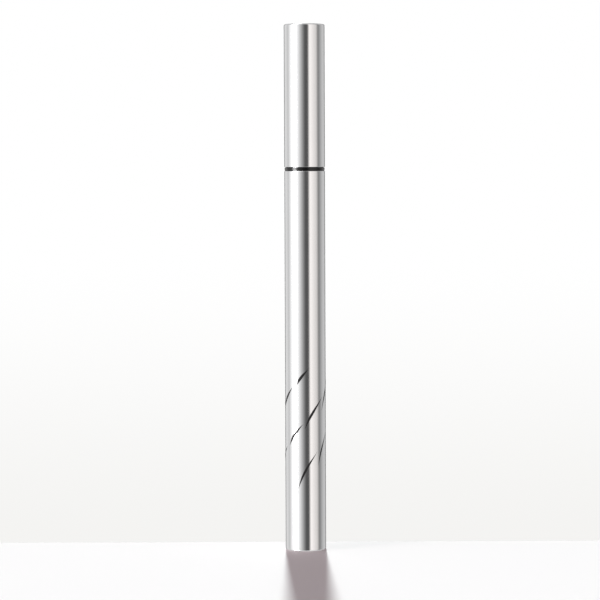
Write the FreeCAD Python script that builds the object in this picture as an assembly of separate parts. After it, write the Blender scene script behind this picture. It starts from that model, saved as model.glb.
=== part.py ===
import FreeCAD
import Part
import math
import os

# Liquid eyeliner pen of the free-ink type, standing on its base with the cap on.
# Origin at the centre of the base, +Z along the pen's axis towards the cap. Millimetres.

# Outer sleeves of drawn aluminium
BODY_DIA = 10.6          # barrel and cap alike
BARREL_LENGTH = 98.5     # base to barrel mouth
SHELL_WALL = 0.4
SHELL_END = 0.6          # closed end of each sleeve
BASE_EDGE = 0.3          # radius round the base
CAP_EDGE = 0.5           # radius round the top of the cap
LIP_EDGE = 0.12          # rounded lip at the mouth of each sleeve

# Clearances
PRESS_GAP = 0.05         # between pieces that are pressed or bonded together
RUN_GAP = 0.2            # round pieces that slide past each other
SNAP_GAP = 0.05          # cap catch over the nose's snap bead
SEAT_GAP = 0.05          # cap lip above the band
SEAL_GAP = 0.03          # round an O-ring in its groove
CLOSE_GAP = 0.12         # sealing gasket off the nose at rest
FIBRE_GAP = 0.04         # round the nib and the relay core

# Nose cone, with the black band that shows between cap and barrel
BAND_HEIGHT = 1.0
BAND_RECESS = 0.1        # band inside the barrel's surface
BAND_EDGE = 0.2
NECK_LENGTH = 0.95
BEAD_HEIGHT = 0.2        # snap bead above the neck
BEAD_LENGTH = 1.95
CONE_STEP = 0.05         # start of the taper below the neck's radius
NOSE_LENGTH = 19.3       # barrel mouth to the front face
FRONT_STEP = 0.5         # end of the taper beyond the tip sleeve
FRONT_CHAMFER = 1.0      # length of the chamfer that ends the taper
NOSE_BELLY = 0.07        # how far the taper swells out of a straight line
NOSE_WALL = 0.9
SPIGOT_LENGTH = 6.0      # inside the tank

# Tip sleeve and nib
SLEEVE_LENGTH = 2.7      # that shows
SLEEVE_LIP = 0.56        # wall at the sleeve's front
SLEEVE_NOSE = 0.35       # rounding at the front of the sleeve
SHANK_WALL = 0.36        # of the part inside the nose
SHANK_STEP = 0.3         # shoulder that stops against the nose's front face
SHANK_LENGTH = 6.0
FLUTE_COUNT = 6          # air flutes along the sleeve's bore
FLUTE_DIA = 0.4
LIP_LENGTH = 0.6         # plain stretch of bore at the front
NIB_DIA = 1.85
NIB_LENGTH = 7.1         # that shows
NIB_BELLY = 0.07
NIB_POINT = 0.06         # radius of the point
NIB_FLANGE = 0.15        # collar of fused fibre beyond nib and relay core
NIB_FLANGE_LENGTH = 1.1
NIB_SOCKET = 1.2         # depth of the cone that the relay core enters

# Ink tank and tail plug
TANK_WALL = 0.6
PLUG_FLANGE = 1.0
PLUG_LENGTH = 5.5        # inside the tank
PLUG_TOP = 1.2
PLUG_WALL = 0.7
SEAL_SECTION = 0.7       # O-rings of plug and nose
BALL_DIA = 3.5
BALL_GAP = 0.1           # ball above its dish
DISH_DEPTH = 0.4
DISH_MARGIN = 1.05       # dish radius beyond the ball's

# Collector and relay core
RELAY_DIA = 2.0
RELAY_REACH = 2.5        # into the ink behind the collector
COLLECTOR_LENGTH = 30.0
COLLECTOR_REAR = 1.4     # disc that parts ink from air
COLLECTOR_FRONT = 1.0
CORE_WALL = 0.75
FIN_COUNT = 24
FIN_THICKNESS = 0.45
FIN_GAP = 0.12           # fins inside the tank's bore
SLIT_WIDTH = 0.35        # ink slit through fins and core
AIR_WIDTH = 1.0          # air channel along the fins
AIR_DEPTH = 0.7
RELAY_SPAN = 4.3         # free stretch of relay core behind the tip sleeve

# Cap liner, inner cap and spring
LINER_WALL = 0.45        # round the nose
LINER_TOP_WALL = 0.65    # round the spring
LINER_CHAMFER = 0.2      # lead-in at the mouth, up to the snap catch
CATCH_HEIGHT = 0.1       # snap catch above the liner's bore
CATCH_LENGTH = 0.55
LEDGE = 1.0              # ring that keeps the inner cap in
INNER_TRAVEL = 1.5       # how far the spring pushes the inner cap out
INNER_WALL = 0.7
INNER_FLANGE = 0.9
NIB_ROOM = 0.38          # round the nib inside the inner cap
NIB_HEADROOM = 2.0
GASKET_RIM = 0.25        # least wall of the gasket at its mouth
GASKET_TONGUE = 0.6
GASKET_LIP = 0.2         # gasket above the nose's front face
STOP_ROOM = 2.45         # inner cap to spring stop
STOP_DISC = 1.5
STOP_BOSS = 1.6
STOP_TAPER = 0.3
WIRE_DIA = 0.35
END_PITCH = 0.85         # first and last turn of the spring
ACTIVE_TURNS = 5
SPRING_GAP = 0.03        # wire off its seats

# Radii that follow from the sizes above
body_r = BODY_DIA / 2
shell_bore_r = body_r - SHELL_WALL
insert_r = shell_bore_r - PRESS_GAP
tank_bore_r = insert_r - TANK_WALL
spigot_r = tank_bore_r - PRESS_GAP
groove_r = tank_bore_r - SEAL_SECTION - 2 * SEAL_GAP
liner_bore_r = insert_r - LINER_WALL
catch_r = liner_bore_r - CATCH_HEIGHT
bead_r = catch_r - SNAP_GAP
neck_r = bead_r - BEAD_HEIGHT
seat_r = shell_bore_r - PRESS_GAP
cone_r = neck_r - CONE_STEP
nib_r = NIB_DIA / 2
relay_r = RELAY_DIA / 2
grip_r = nib_r + FIBRE_GAP
nib_flange_r = max(nib_r, relay_r) + NIB_FLANGE
nib_seat_r = nib_flange_r + FIBRE_GAP
shank_r = nib_seat_r + SHANK_WALL
sleeve_r = shank_r + SHANK_STEP
front_r = sleeve_r + FRONT_STEP
relay_bore_r = relay_r + FIBRE_GAP
core_r = relay_bore_r + CORE_WALL
ball_r = BALL_DIA / 2
chamber_r = insert_r - LINER_TOP_WALL
skirt_bore_r = sleeve_r + RUN_GAP
skirt_r = max(skirt_bore_r + INNER_WALL, front_r + CLOSE_GAP + GASKET_RIM)
tongue_r = (skirt_bore_r + skirt_r) / 2
dome_bore_r = nib_r + NIB_ROOM
dome_r = dome_bore_r + INNER_WALL
flange_r = chamber_r - RUN_GAP
coil_r = (dome_r + chamber_r) / 2

# Heights that follow, from the base upwards
plug_z = SHELL_END + PRESS_GAP
tank_z = plug_z + PLUG_FLANGE
plug_top_z = tank_z + PLUG_LENGTH
mouth_z = BARREL_LENGTH
collector_z1 = mouth_z - SPIGOT_LENGTH - PRESS_GAP
collector_z0 = collector_z1 - COLLECTOR_LENGTH
band_top_z = mouth_z + BAND_HEIGHT - SEAT_GAP
neck_z = band_top_z + seat_r - neck_r
bead_z = neck_z + NECK_LENGTH
cone_z = bead_z + BEAD_LENGTH
front_z = mouth_z + NOSE_LENGTH
chamfer_z = front_z - FRONT_CHAMFER
shank_z = front_z - SHANK_LENGTH
sleeve_z = front_z + SLEEVE_LENGTH
nib_tip_z = sleeve_z + NIB_LENGTH
nib_flange_z = shank_z + NIB_SOCKET
cap_z = mouth_z + BAND_HEIGHT
flange_z = sleeve_z
flange_top_z = flange_z + INNER_FLANGE
ledge_z = flange_z - INNER_TRAVEL - RUN_GAP
gasket_z = front_z + GASKET_LIP
dome_top_z = nib_tip_z + NIB_HEADROOM + INNER_WALL
boss_z = dome_top_z + STOP_ROOM
stop_z = boss_z + STOP_BOSS
liner_top_z = stop_z + STOP_DISC
cap_length = liner_top_z + PRESS_GAP + SHELL_END - cap_z


def at(point):
    """Place a (radius, height) pair in the plane of the outlines."""
    return FreeCAD.Vector(point[0], 0, point[1])


def bend(before, corner, after, radius):
    """Round a corner of an outline: the arc's start, then its middle and end as one step."""
    here = at(corner)
    back = (at(before) - here).normalize()
    ahead = (at(after) - here).normalize()
    half = back.getAngle(ahead) / 2
    reach = radius / math.tan(half)
    middle = here + (back + ahead).normalize() * (radius / math.sin(half) - radius)
    start = here + back * reach
    end = here + ahead * reach
    return (start.x, start.z), ((middle.x, middle.z), (end.x, end.z))


def swell(start, end, belly):
    """Arc step of an outline that stands off the straight line from start to end by belly."""
    run = at(end) - at(start)
    out = FreeCAD.Vector(run.z, 0, -run.x).normalize()
    middle = (at(start) + at(end)) / 2 + out * belly
    return (middle.x, middle.z), end


def revolved(*outline):
    """Turn a closed outline about the pen's axis. A step is a point, or an arc's middle and end."""
    edges = []
    here = outline[0]
    for step in outline[1:] + outline[:1]:
        if isinstance(step[0], tuple):
            edges.append(Part.Arc(at(here), at(step[0]), at(step[1])).toShape())
            here = step[1]
        else:
            edges.append(Part.LineSegment(at(here), at(step)).toShape())
            here = step
    solid = Part.Face(Part.Wire(edges)).revolve(FreeCAD.Vector(), FreeCAD.Vector(0, 0, 1), 360)
    return Part.Solid(solid.Shells[0])


def rod(radius, low, high):
    return Part.makeCylinder(radius, high - low, FreeCAD.Vector(0, 0, low))


def inner_edge(edge):
    """Radius inside a sleeve's closed end, which the piece that sits there is chamfered to clear."""
    return max(edge - SHELL_WALL, SHELL_WALL / 2)


def drawn_cup(length, edge):
    """Aluminium cup that stands on its closed end, with a rounded lip."""
    corner = bend((0, 0), (body_r, 0), (body_r, length), edge)
    inner = bend((shell_bore_r, length), (shell_bore_r, SHELL_END), (0, SHELL_END), inner_edge(edge))
    lip_out = bend((body_r, 0), (body_r, length), (shell_bore_r, length), LIP_EDGE)
    lip_in = bend((body_r, length), (shell_bore_r, length), (shell_bore_r, 0), LIP_EDGE)
    return revolved((0, 0), *corner, *lip_out, *lip_in, *inner, (0, SHELL_END))


def o_ring(height):
    radius = tank_bore_r - SEAL_GAP - SEAL_SECTION / 2
    return Part.makeTorus(radius, SEAL_SECTION / 2, FreeCAD.Vector(0, 0, height))


def seal_groove(height):
    """Outline of an O-ring groove in a spigot, from its top edge down."""
    half = SEAL_SECTION / 2 + SEAL_GAP
    low, high = height - half, height + half
    return (spigot_r, high), (groove_r, high), (groove_r, low), (spigot_r, low)


def barrel_sleeve():
    return drawn_cup(BARREL_LENGTH, BASE_EDGE)


def cap_sleeve():
    cup = drawn_cup(cap_length, CAP_EDGE)
    cup.rotate(FreeCAD.Vector(), FreeCAD.Vector(1, 0, 0), 180)
    cup.translate(FreeCAD.Vector(0, 0, cap_z + cap_length))
    return cup


def ink_tank():
    return rod(insert_r, tank_z, mouth_z - PRESS_GAP).cut(rod(tank_bore_r, tank_z, mouth_z))


def tail_seal_z():
    return tank_z + PLUG_LENGTH / 2


def tail_plug():
    """Cored plug with an O-ring groove, and a dish on top where the ball comes to rest."""
    cup_r = ball_r + DISH_MARGIN
    dish_r = math.sqrt(DISH_DEPTH * (2 * cup_r - DISH_DEPTH))
    lean = math.asin(dish_r / cup_r) / 2
    dish_low = plug_top_z - DISH_DEPTH
    dish_mid = (cup_r * math.sin(lean), dish_low + cup_r * (1 - math.cos(lean)))
    hollow_r = groove_r - PLUG_WALL
    hollow_top = plug_top_z - PLUG_TOP
    chamfer = inner_edge(BASE_EDGE)
    return revolved(
        (0, dish_low), (dish_mid, (dish_r, plug_top_z)), (spigot_r, plug_top_z),
        *seal_groove(tail_seal_z()), (spigot_r, tank_z), (insert_r, tank_z),
        (insert_r, plug_z + chamfer), (insert_r - chamfer, plug_z),
        (hollow_r, plug_z), (hollow_r, hollow_top), (0, hollow_top))


def agitator_ball():
    centre = plug_top_z - DISH_DEPTH + BALL_GAP + ball_r
    return Part.makeSphere(ball_r, FreeCAD.Vector(0, 0, centre))


def collector():
    """Finned regulator: a comb outline turned about the axis, then slit for ink and channelled for air."""
    fin_r = tank_bore_r - FIN_GAP
    disc_r = tank_bore_r - PRESS_GAP
    comb_low = collector_z0 + COLLECTOR_REAR
    comb_high = collector_z1 - COLLECTOR_FRONT
    pitch = (comb_high - comb_low) / (FIN_COUNT + 1)
    comb = []
    for fin in range(1, FIN_COUNT + 1):
        low = comb_low + fin * pitch - FIN_THICKNESS / 2
        high = low + FIN_THICKNESS
        comb += [(core_r, low), (fin_r, low), (fin_r, high), (core_r, high)]
    stem_top = shank_z - RELAY_SPAN
    body = revolved(
        (relay_bore_r, collector_z0), (disc_r, collector_z0), (disc_r, comb_low), (core_r, comb_low),
        *comb, (core_r, comb_high), (fin_r, comb_high), (fin_r, collector_z1), (core_r, collector_z1),
        (core_r, stem_top), (relay_bore_r, stem_top))
    slit = Part.makeBox(disc_r, SLIT_WIDTH, comb_high - collector_z0,
                        FreeCAD.Vector(relay_r, -SLIT_WIDTH / 2, collector_z0))
    air = Part.makeBox(AIR_DEPTH + FIN_GAP, AIR_WIDTH, collector_z1 - comb_low,
                       FreeCAD.Vector(-tank_bore_r, -AIR_WIDTH / 2, comb_low))
    return body.cut(slit).cut(air)


def relay_core():
    """Fibre rod, ground to a point at the front where it enters the nib."""
    point_z = nib_flange_z - FIBRE_GAP
    return revolved((0, collector_z0 - RELAY_REACH), (relay_r, collector_z0 - RELAY_REACH),
                    (relay_r, point_z), (0, point_z + NIB_SOCKET))


def nose_seal_z():
    return mouth_z - SPIGOT_LENGTH / 2


def taper_radius(height):
    """Radius of the nose's taper, taken straight."""
    return cone_r + (front_r - cone_r) * (height - cone_z) / (chamfer_z - cone_z)


def nose_cone():
    """Band, centring cone, neck, snap bead and bellied taper, hollow behind the tip sleeve's bore."""
    band_r = body_r - BAND_RECESS
    spigot_low = mouth_z - SPIGOT_LENGTH
    bore_r = shank_r + PRESS_GAP
    cavity_top = shank_z - PRESS_GAP
    cavity_r = taper_radius(cone_z) - NOSE_WALL
    throat_r = max(taper_radius(cavity_top) - NOSE_WALL, bore_r)
    bead_end = (cone_r, cone_z)
    bead_crest = (bead_r, bead_z + BEAD_LENGTH / 2)
    return revolved(
        (cavity_r, spigot_low), (groove_r, spigot_low), (spigot_r, spigot_low + spigot_r - groove_r),
        *reversed(seal_groove(nose_seal_z())), (spigot_r, mouth_z),
        *bend((spigot_r, mouth_z), (band_r, mouth_z), (band_r, band_top_z), BAND_EDGE),
        *bend((band_r, mouth_z), (band_r, band_top_z), (seat_r, band_top_z), BAND_EDGE),
        (seat_r, band_top_z), (neck_r, neck_z), (neck_r, bead_z), (bead_crest, bead_end),
        swell(bead_end, (front_r, chamfer_z), NOSE_BELLY), (sleeve_r, front_z),
        (bore_r, front_z), (bore_r, cavity_top), (throat_r, cavity_top), (cavity_r, cone_z))


def tip_sleeve():
    """Nib holder: shank in the nose, tapered front with a rounded end, air flutes along the bore."""
    seat_top = nib_flange_z + NIB_FLANGE_LENGTH + FIBRE_GAP
    shoulder = (sleeve_r, front_z)
    front = (grip_r + SLEEVE_LIP, sleeve_z)
    body = revolved(
        (nib_seat_r, shank_z), (shank_r, shank_z), (shank_r, front_z), shoulder,
        *bend(shoulder, front, (grip_r, sleeve_z), SLEEVE_NOSE),
        (grip_r + FIBRE_GAP, sleeve_z), (grip_r, sleeve_z - LIP_LENGTH), (grip_r, seat_top),
        (nib_seat_r, seat_top))
    for index in range(FLUTE_COUNT):
        angle = 2 * math.pi * index / FLUTE_COUNT
        flute = rod(FLUTE_DIA / 2, seat_top, sleeve_z - LIP_LENGTH)
        flute.translate(FreeCAD.Vector(grip_r * math.cos(angle), grip_r * math.sin(angle), 0))
        body = body.cut(flute)
    return body


def brush_nib():
    """Fibre nib with a fused collar at its root, a socket for the relay core and a slim point."""
    collar_top = nib_flange_z + NIB_FLANGE_LENGTH
    point_z = nib_tip_z - NIB_POINT
    turn = math.sqrt(0.5) * NIB_POINT
    return revolved(
        (0, nib_flange_z + NIB_SOCKET), (relay_r, nib_flange_z), (nib_flange_r, nib_flange_z),
        (nib_flange_r, collar_top), (nib_r, collar_top), (nib_r, sleeve_z),
        swell((nib_r, sleeve_z), (NIB_POINT, point_z), NIB_BELLY),
        ((turn, point_z + turn), (0, nib_tip_z)))


def cap_liner():
    """Moulded liner: lead-in, snap catch at the nose's neck, ledge under the inner cap, spring chamber."""
    catch_low = (liner_bore_r, neck_z + LINER_CHAMFER)
    catch_crest = (catch_r, catch_low[1] + CATCH_LENGTH / 2)
    catch_high = (liner_bore_r, catch_low[1] + CATCH_LENGTH)
    ledge_r = skirt_r + RUN_GAP
    chamfer = inner_edge(CAP_EDGE)
    return revolved(
        (insert_r, neck_z), (insert_r, liner_top_z - chamfer), (insert_r - chamfer, liner_top_z),
        (chamber_r, liner_top_z), (chamber_r, ledge_z),
        (ledge_r, ledge_z), (ledge_r, ledge_z - LEDGE), (liner_bore_r, ledge_z - LEDGE), catch_high,
        (catch_crest, catch_low), (liner_bore_r + LINER_CHAMFER, neck_z))


def inner_cap():
    """Sealing cup: skirt over the tip sleeve, flange for the spring, closed dome over the nib."""
    tongue_top = gasket_z + GASKET_TONGUE
    step_z = sleeve_z + RUN_GAP
    dome_in_z = nib_tip_z + NIB_HEADROOM
    crown = bend((dome_r, flange_top_z), (dome_r, dome_top_z), (0, dome_top_z), INNER_WALL)
    return revolved(
        (tongue_r, gasket_z), (skirt_r, gasket_z), (skirt_r, flange_z), (flange_r, flange_z),
        (flange_r, flange_top_z), (dome_r, flange_top_z), *crown, (0, dome_top_z), (0, dome_in_z),
        (dome_bore_r, dome_in_z), (dome_bore_r, step_z), (skirt_bore_r, step_z),
        (skirt_bore_r, tongue_top), (tongue_r, tongue_top))


def seal_gasket():
    """Soft ring with a conical face that closes on the nose's chamfer, keyed into the inner cap."""
    key_r = tongue_r - PRESS_GAP
    key_top = gasket_z + GASKET_TONGUE - PRESS_GAP
    top = gasket_z - PRESS_GAP
    throat_r = sleeve_r + CLOSE_GAP
    return revolved((front_r + CLOSE_GAP, chamfer_z), (skirt_r, chamfer_z), (skirt_r, top), (key_r, top),
                    (key_r, key_top), (skirt_bore_r, key_top), (throat_r, top), (throat_r, front_z))


def spring_stop():
    """Plug in the top of the liner, with a tapered boss that centres the spring."""
    stop_r = chamber_r - PRESS_GAP
    boss_r = coil_r - WIRE_DIA / 2 - RUN_GAP
    return revolved((0, boss_z), (boss_r - STOP_TAPER, boss_z), (boss_r, stop_z), (stop_r, stop_z),
                    (stop_r, liner_top_z), (0, liner_top_z))


def biarc(start, start_way, end, end_way):
    """Two arcs, tangent to each other, that join two points along the given unit tangents."""
    run = end - start
    lean = start_way + end_way
    spread = 2 * (1 - start_way.dot(end_way))
    across = run.dot(lean)
    reach = (math.sqrt(across ** 2 + spread * run.dot(run)) - across) / spread
    first_corner = start + start_way * reach
    last_corner = end - end_way * reach
    joint = (first_corner + last_corner) / 2
    arcs = []
    for low, corner, high in ((start, first_corner, joint), (joint, last_corner, end)):
        chord_mid = (low + high) / 2
        half_chord = (high - low).Length / 2
        rise = corner - chord_mid
        sagitta = half_chord * math.tan(math.atan2(rise.Length, half_chord) / 2)
        arcs.append(Part.Arc(low, chord_mid + rise.normalize() * sagitta, high).toShape())
    return arcs


def spring_path():
    """Centre line of the spring: quarter turns, closer together in the first and last turn."""
    low = flange_top_z + WIRE_DIA / 2 + SPRING_GAP
    high = stop_z - WIRE_DIA / 2 - SPRING_GAP
    end_rise = END_PITCH / 4
    active_rise = (high - low - 2 * END_PITCH) / (4 * ACTIVE_TURNS)
    rises = [end_rise] * 4 + [active_rise] * (4 * ACTIVE_TURNS) + [end_rise] * 4
    points = []
    ways = []
    height = low
    for quarter in range(len(rises) + 1):
        angle = quarter * math.pi / 2
        near = rises[max(quarter - 1, 0)], rises[min(quarter, len(rises) - 1)]
        slope = sum(near) / math.pi
        points.append(FreeCAD.Vector(coil_r * math.cos(angle), coil_r * math.sin(angle), height))
        way = FreeCAD.Vector(-coil_r * math.sin(angle), coil_r * math.cos(angle), slope)
        ways.append(way.normalize())
        if quarter < len(rises):
            height += rises[quarter]
    edges = []
    for index in range(len(rises)):
        edges += biarc(points[index], ways[index], points[index + 1], ways[index + 1])
    return Part.Wire(edges), points[0], ways[0]


def least_gap(path):
    """Least clear distance between turns, measured on points along the path."""
    half_turn = 30
    turns = ACTIVE_TURNS + 2
    points = path.discretize(Number=2 * half_turn * turns)
    nearest = min((points[first] - points[second]).Length
                  for first in range(len(points))
                  for second in range(first + half_turn, len(points)))
    return nearest - WIRE_DIA


def cap_spring():
    path, start, way = spring_path()
    print(f"spring: least gap between turns {least_gap(path):.2f} mm")
    section = Part.Wire(Part.makeCircle(WIRE_DIA / 2, start, way))
    return path.makePipeShell([section], True, False)


PIECES = (
    barrel_sleeve, ink_tank, tail_plug, agitator_ball, collector, relay_core, nose_cone, tip_sleeve,
    brush_nib, cap_sleeve, cap_liner, inner_cap, seal_gasket, spring_stop, cap_spring,
)

os.makedirs("parts", exist_ok=True)
for piece in PIECES:
    piece().exportStep(f"parts/{piece.__name__}.step")
o_ring(tail_seal_z()).exportStep("parts/tail_seal.step")
o_ring(nose_seal_z()).exportStep("parts/nose_seal.step")
print(f"cap {cap_length:.2f} mm, pen {cap_z + cap_length:.2f} mm")
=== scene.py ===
import math

import bmesh
import bpy
from mathutils import Matrix, Vector


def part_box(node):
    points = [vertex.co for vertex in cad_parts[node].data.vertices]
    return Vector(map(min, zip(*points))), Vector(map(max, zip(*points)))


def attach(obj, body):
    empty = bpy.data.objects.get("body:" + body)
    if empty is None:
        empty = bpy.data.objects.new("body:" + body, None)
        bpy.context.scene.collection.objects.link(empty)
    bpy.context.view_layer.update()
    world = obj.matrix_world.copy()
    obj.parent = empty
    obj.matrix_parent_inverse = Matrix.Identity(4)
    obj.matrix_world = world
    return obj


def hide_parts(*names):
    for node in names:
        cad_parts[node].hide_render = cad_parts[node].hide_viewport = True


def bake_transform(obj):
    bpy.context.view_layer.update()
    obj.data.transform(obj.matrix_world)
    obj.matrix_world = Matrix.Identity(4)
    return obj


bl_info = {
    "name": "Liquid eyeliner pen",
    "version": (1, 0, 0),
    "blender": (4, 5, 0),
    "location": "3D View > Sidebar > Pen",
    "description": "Dresses the packed eyeliner pen in its finishes and sets up its studio",
    "category": "Object",
}

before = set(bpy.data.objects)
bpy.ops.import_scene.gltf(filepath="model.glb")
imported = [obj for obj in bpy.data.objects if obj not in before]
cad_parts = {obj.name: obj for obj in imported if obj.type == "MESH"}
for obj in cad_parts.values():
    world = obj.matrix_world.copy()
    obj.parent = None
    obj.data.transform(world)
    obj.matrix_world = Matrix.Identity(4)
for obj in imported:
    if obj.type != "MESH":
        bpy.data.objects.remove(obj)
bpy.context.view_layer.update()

RING_STEPS = 192          # faces round a turned piece
EDGE_STEPS = 6            # faces across a rounded edge
SWELL_STEPS = 10          # points along a bellied stretch of an outline
HOLD = 1.4                # distance of the holding points beside a rounded corner, in roundings
SHARP = math.radians(32)  # edges that turn by more than this stay sharp
WELD = 1e-7


def reach(node):
    """Outer radius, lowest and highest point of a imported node."""
    low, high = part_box(node)
    return high.x, low.z, high.z


BODY_R, BASE_Z, MOUTH_Z = reach("barrel_sleeve")
CAP_R, RIM_Z, TOP_Z = reach("cap_sleeve")
TANK_R = reach("ink_tank")[0]
BAND_R, SPIGOT_Z, FRONT_Z = reach("nose_cone")
TIP_R, SHANK_Z, TIP_Z = reach("tip_sleeve")
COLLAR_R, COLLAR_Z, POINT_Z = reach("brush_nib")
RELAY_R = reach("relay_core")[0]
LINER_R, LINER_Z, LINER_TOP_Z = reach("cap_liner")
FLANGE_R, SKIRT_Z, DOME_Z = reach("inner_cap")
SKIRT_R, GASKET_Z, KEY_Z = reach("seal_gasket")
STOP_R, BOSS_Z, STOP_TOP_Z = reach("spring_stop")
SPRING_R, SPRING_Z, SPRING_TOP_Z = reach("cap_spring")


def length(name, description, default):
    return bpy.props.FloatProperty(name=name, description=description, default=default, min=0.0,
                                   unit="LENGTH", precision=5)


def amount(name, description, default, top=1.0):
    return bpy.props.FloatProperty(name=name, description=description, default=default, min=0.0, max=top)


def angle(name, description, degrees):
    return bpy.props.FloatProperty(name=name, description=description, default=math.radians(degrees),
                                   subtype="ANGLE")


def colour(name, description, default):
    return bpy.props.FloatVectorProperty(name=name, description=description, default=default, size=3,
                                         min=0.0, max=1.0, subtype="COLOR")


def span(name, description, default):
    """Ends of a soft edge, or start, full, still full and end of a panel."""
    return bpy.props.FloatVectorProperty(name=name, description=description, default=default,
                                         size=len(default))


class PenSizes(bpy.types.PropertyGroup):
    """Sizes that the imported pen's boxes don't give."""

    wall: length("Sleeve wall", "Wall of the drawn sleeves", 0.0004)
    end: length("Closed end", "Thickness of a sleeve's closed end", 0.0006)
    base_edge: length("Base edge", "Radius round the base", 0.0003)
    cap_edge: length("Cap edge", "Radius round the top of the cap", 0.0005)
    lip_edge: length("Lip edge", "Radius of the lips at the sleeves' mouths", 0.00012)
    moulded_edge: length("Moulded edge", "Radius of the mouldings' edges inside the cap", 0.0002)
    soft_edge: length("Soft edge", "Radius of the gasket's edges", 0.00008)
    press_gap: length("Press gap", "Gap between pieces that are pressed together", 0.00005)
    run_gap: length("Running gap", "Gap round pieces that slide", 0.0002)
    snap_gap: length("Snap gap", "Snap bead inside the cap's catch", 0.00005)
    fibre_gap: length("Fibre gap", "Gap round the nib", 0.00004)
    seal_gap: length("Seal gap", "Gap round a sealing ring in its groove", 0.00003)
    close_gap: length("Close gap", "Gasket off the nose", 0.00012)
    spring_gap: length("Spring gap", "Spring's wire off its seats", 0.00003)
    band_height: length("Band height", "Height of the black band above the barrel", 0.00095)
    band_edge: length("Band edge", "Radius of the band's edges", 0.0002)
    neck_length: length("Neck length", "Plain neck below the snap bead", 0.00095)
    bead_length: length("Bead length", "Length of the snap bead", 0.00195)
    bead_height: length("Bead height", "Snap bead above the neck", 0.0002)
    cone_step: length("Cone step", "Start of the taper below the neck", 0.00005)
    belly: length("Belly", "Swell of the nose's taper and of the nib", 0.00007)
    chamfer: length("Front chamfer", "Length of the chamfer at the nose's front", 0.001)
    front_step: length("Front step", "Nose's front beyond the tip holder", 0.0005)
    nose_wall: length("Nose wall", "Wall of the nose round the feed", 0.0009)
    tank_wall: length("Tank wall", "Wall of the ink tank", 0.0006)
    seal_section: length("Seal section", "Thickness of the two sealing rings", 0.0007)
    shank_wall: length("Shank wall", "Wall of the tip holder inside the nose", 0.00036)
    tip_lip: length("Tip lip", "Wall of the tip holder at its front", 0.00056)
    tip_nose: length("Tip rounding", "Rounding at the tip holder's front", 0.00035)
    tip_mouth: length("Tip mouth", "Length of the slight flare in the tip holder's mouth", 0.0006)
    nib_radius: length("Nib radius", "Nib where it leaves the tip holder", 0.000925)
    nib_point: length("Nib point", "Radius of the nib's point", 0.00006)
    collar_height: length("Collar height", "Height of the collar at the nib's root", 0.0011)
    relay_socket: length("Relay socket", "Depth of the hollow in the nib's root", 0.0012)
    fibre_depth: amount("Fibre depth", "Depth of the grooves between the nib's fibres", 0.07)
    liner_wall: length("Liner wall", "Wall of the cap liner round the nose", 0.00045)
    chamber_wall: length("Chamber wall", "Wall of the cap liner round the spring", 0.00065)
    lead_in: length("Lead-in", "Chamfer at the mouth of the cap liner", 0.0002)
    catch_height: length("Catch height", "Snap catch inside the cap liner", 0.0001)
    catch_length: length("Catch length", "Length of the snap catch", 0.00055)
    ledge: length("Ledge", "Height of the ring that keeps the inner cap in", 0.001)
    travel: length("Inner travel", "How far the spring pushes the inner cap", 0.0015)
    inner_wall: length("Inner cap wall", "Wall of the inner cap", 0.0007)
    nib_room: length("Nib room", "Room round the nib inside the inner cap", 0.00038)
    flange_height: length("Flange height", "Flange that the spring pushes on", 0.0009)
    boss_taper: length("Boss taper", "Taper of the boss that centres the spring", 0.0003)
    wire: length("Wire", "Thickness of the spring's wire", 0.00035)
    end_pitch: length("End pitch", "Rise of the spring's first and last turn", 0.00085)


class PrintSizes(bpy.types.PropertyGroup):
    """The scattered dashes that are printed on the barrel."""

    count: bpy.props.IntProperty(name="Dashes", description="Number of printed dashes", default=15, min=1)
    low: length("Lowest", "Middle of the lowest dash", 0.021)
    high: length("Highest", "Middle of the highest dash", 0.047)
    dash: length("Dash length", "Length of a middle-sized dash", 0.0085)
    dash_spread: amount("Length spread", "How much the dashes differ in length", 0.3)
    dash_step: amount("Length step", "Step of the wave that the lengths follow", 1.7, 10.0)
    width: length("Dash width", "Width of a middle-sized dash at its middle", 0.00062)
    width_spread: amount("Width spread", "How much the dashes differ in width", 0.45)
    slant: angle("Slant", "Lean of a middle dash from the pen's axis", 27)
    slant_spread: amount("Slant spread", "How much the dashes differ in slant", 0.35)
    swing_step: amount("Swing step", "Step of the wave that widths and slants follow", 2.3, 10.0)
    swing_start: amount("Swing start", "Start of the wave that widths and slants follow", 3.0, 10.0)
    bow: amount("Bow", "How far a dash's ends bow aside, as a share of its length", 0.06)
    blunt: amount("Blunt ends", "Width of a dash's ends, as a share of its middle", 0.04)
    taper: amount("Taper", "How soon a dash narrows towards its ends", 1.5, 10.0)
    film: length("Film", "Thickness of the printed ink", 0.00001)


class PenFinishes(bpy.types.PropertyGroup):
    """Colours of the pieces."""

    metal: colour("Metal", "Polished and clear anodised aluminium", (0.89, 0.89, 0.895))
    metal_rough: amount("Metal roughness", "Roughness of the polished sleeves", 0.12)
    black: colour("Black", "Glossy black mouldings", (0.0022, 0.0022, 0.0025))
    fibre: colour("Nib", "Fibre soaked in black ink", (0.013, 0.012, 0.013))
    ink: colour("Print", "Printed ink", (0.03, 0.029, 0.03))
    liner: colour("Liner", "Satin black mouldings inside the cap", (0.035, 0.035, 0.037))
    gasket: colour("Gasket", "Soft pale sealing gasket", (0.70, 0.69, 0.66))
    wire: colour("Wire", "Spring steel", (0.58, 0.58, 0.58))
    seal: colour("Seals", "Black rubber rings", (0.02, 0.02, 0.02))
    tank: colour("Tank", "Natural plastic of tank and plug", (0.82, 0.82, 0.80))
    collector: colour("Collector", "Ivory plastic of the collector", (0.74, 0.74, 0.70))
    relay: colour("Relay core", "Fibre rod with ink in it", (0.05, 0.048, 0.05))
    ball: colour("Ball", "Polished steel ball", (0.72, 0.72, 0.73))


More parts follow.
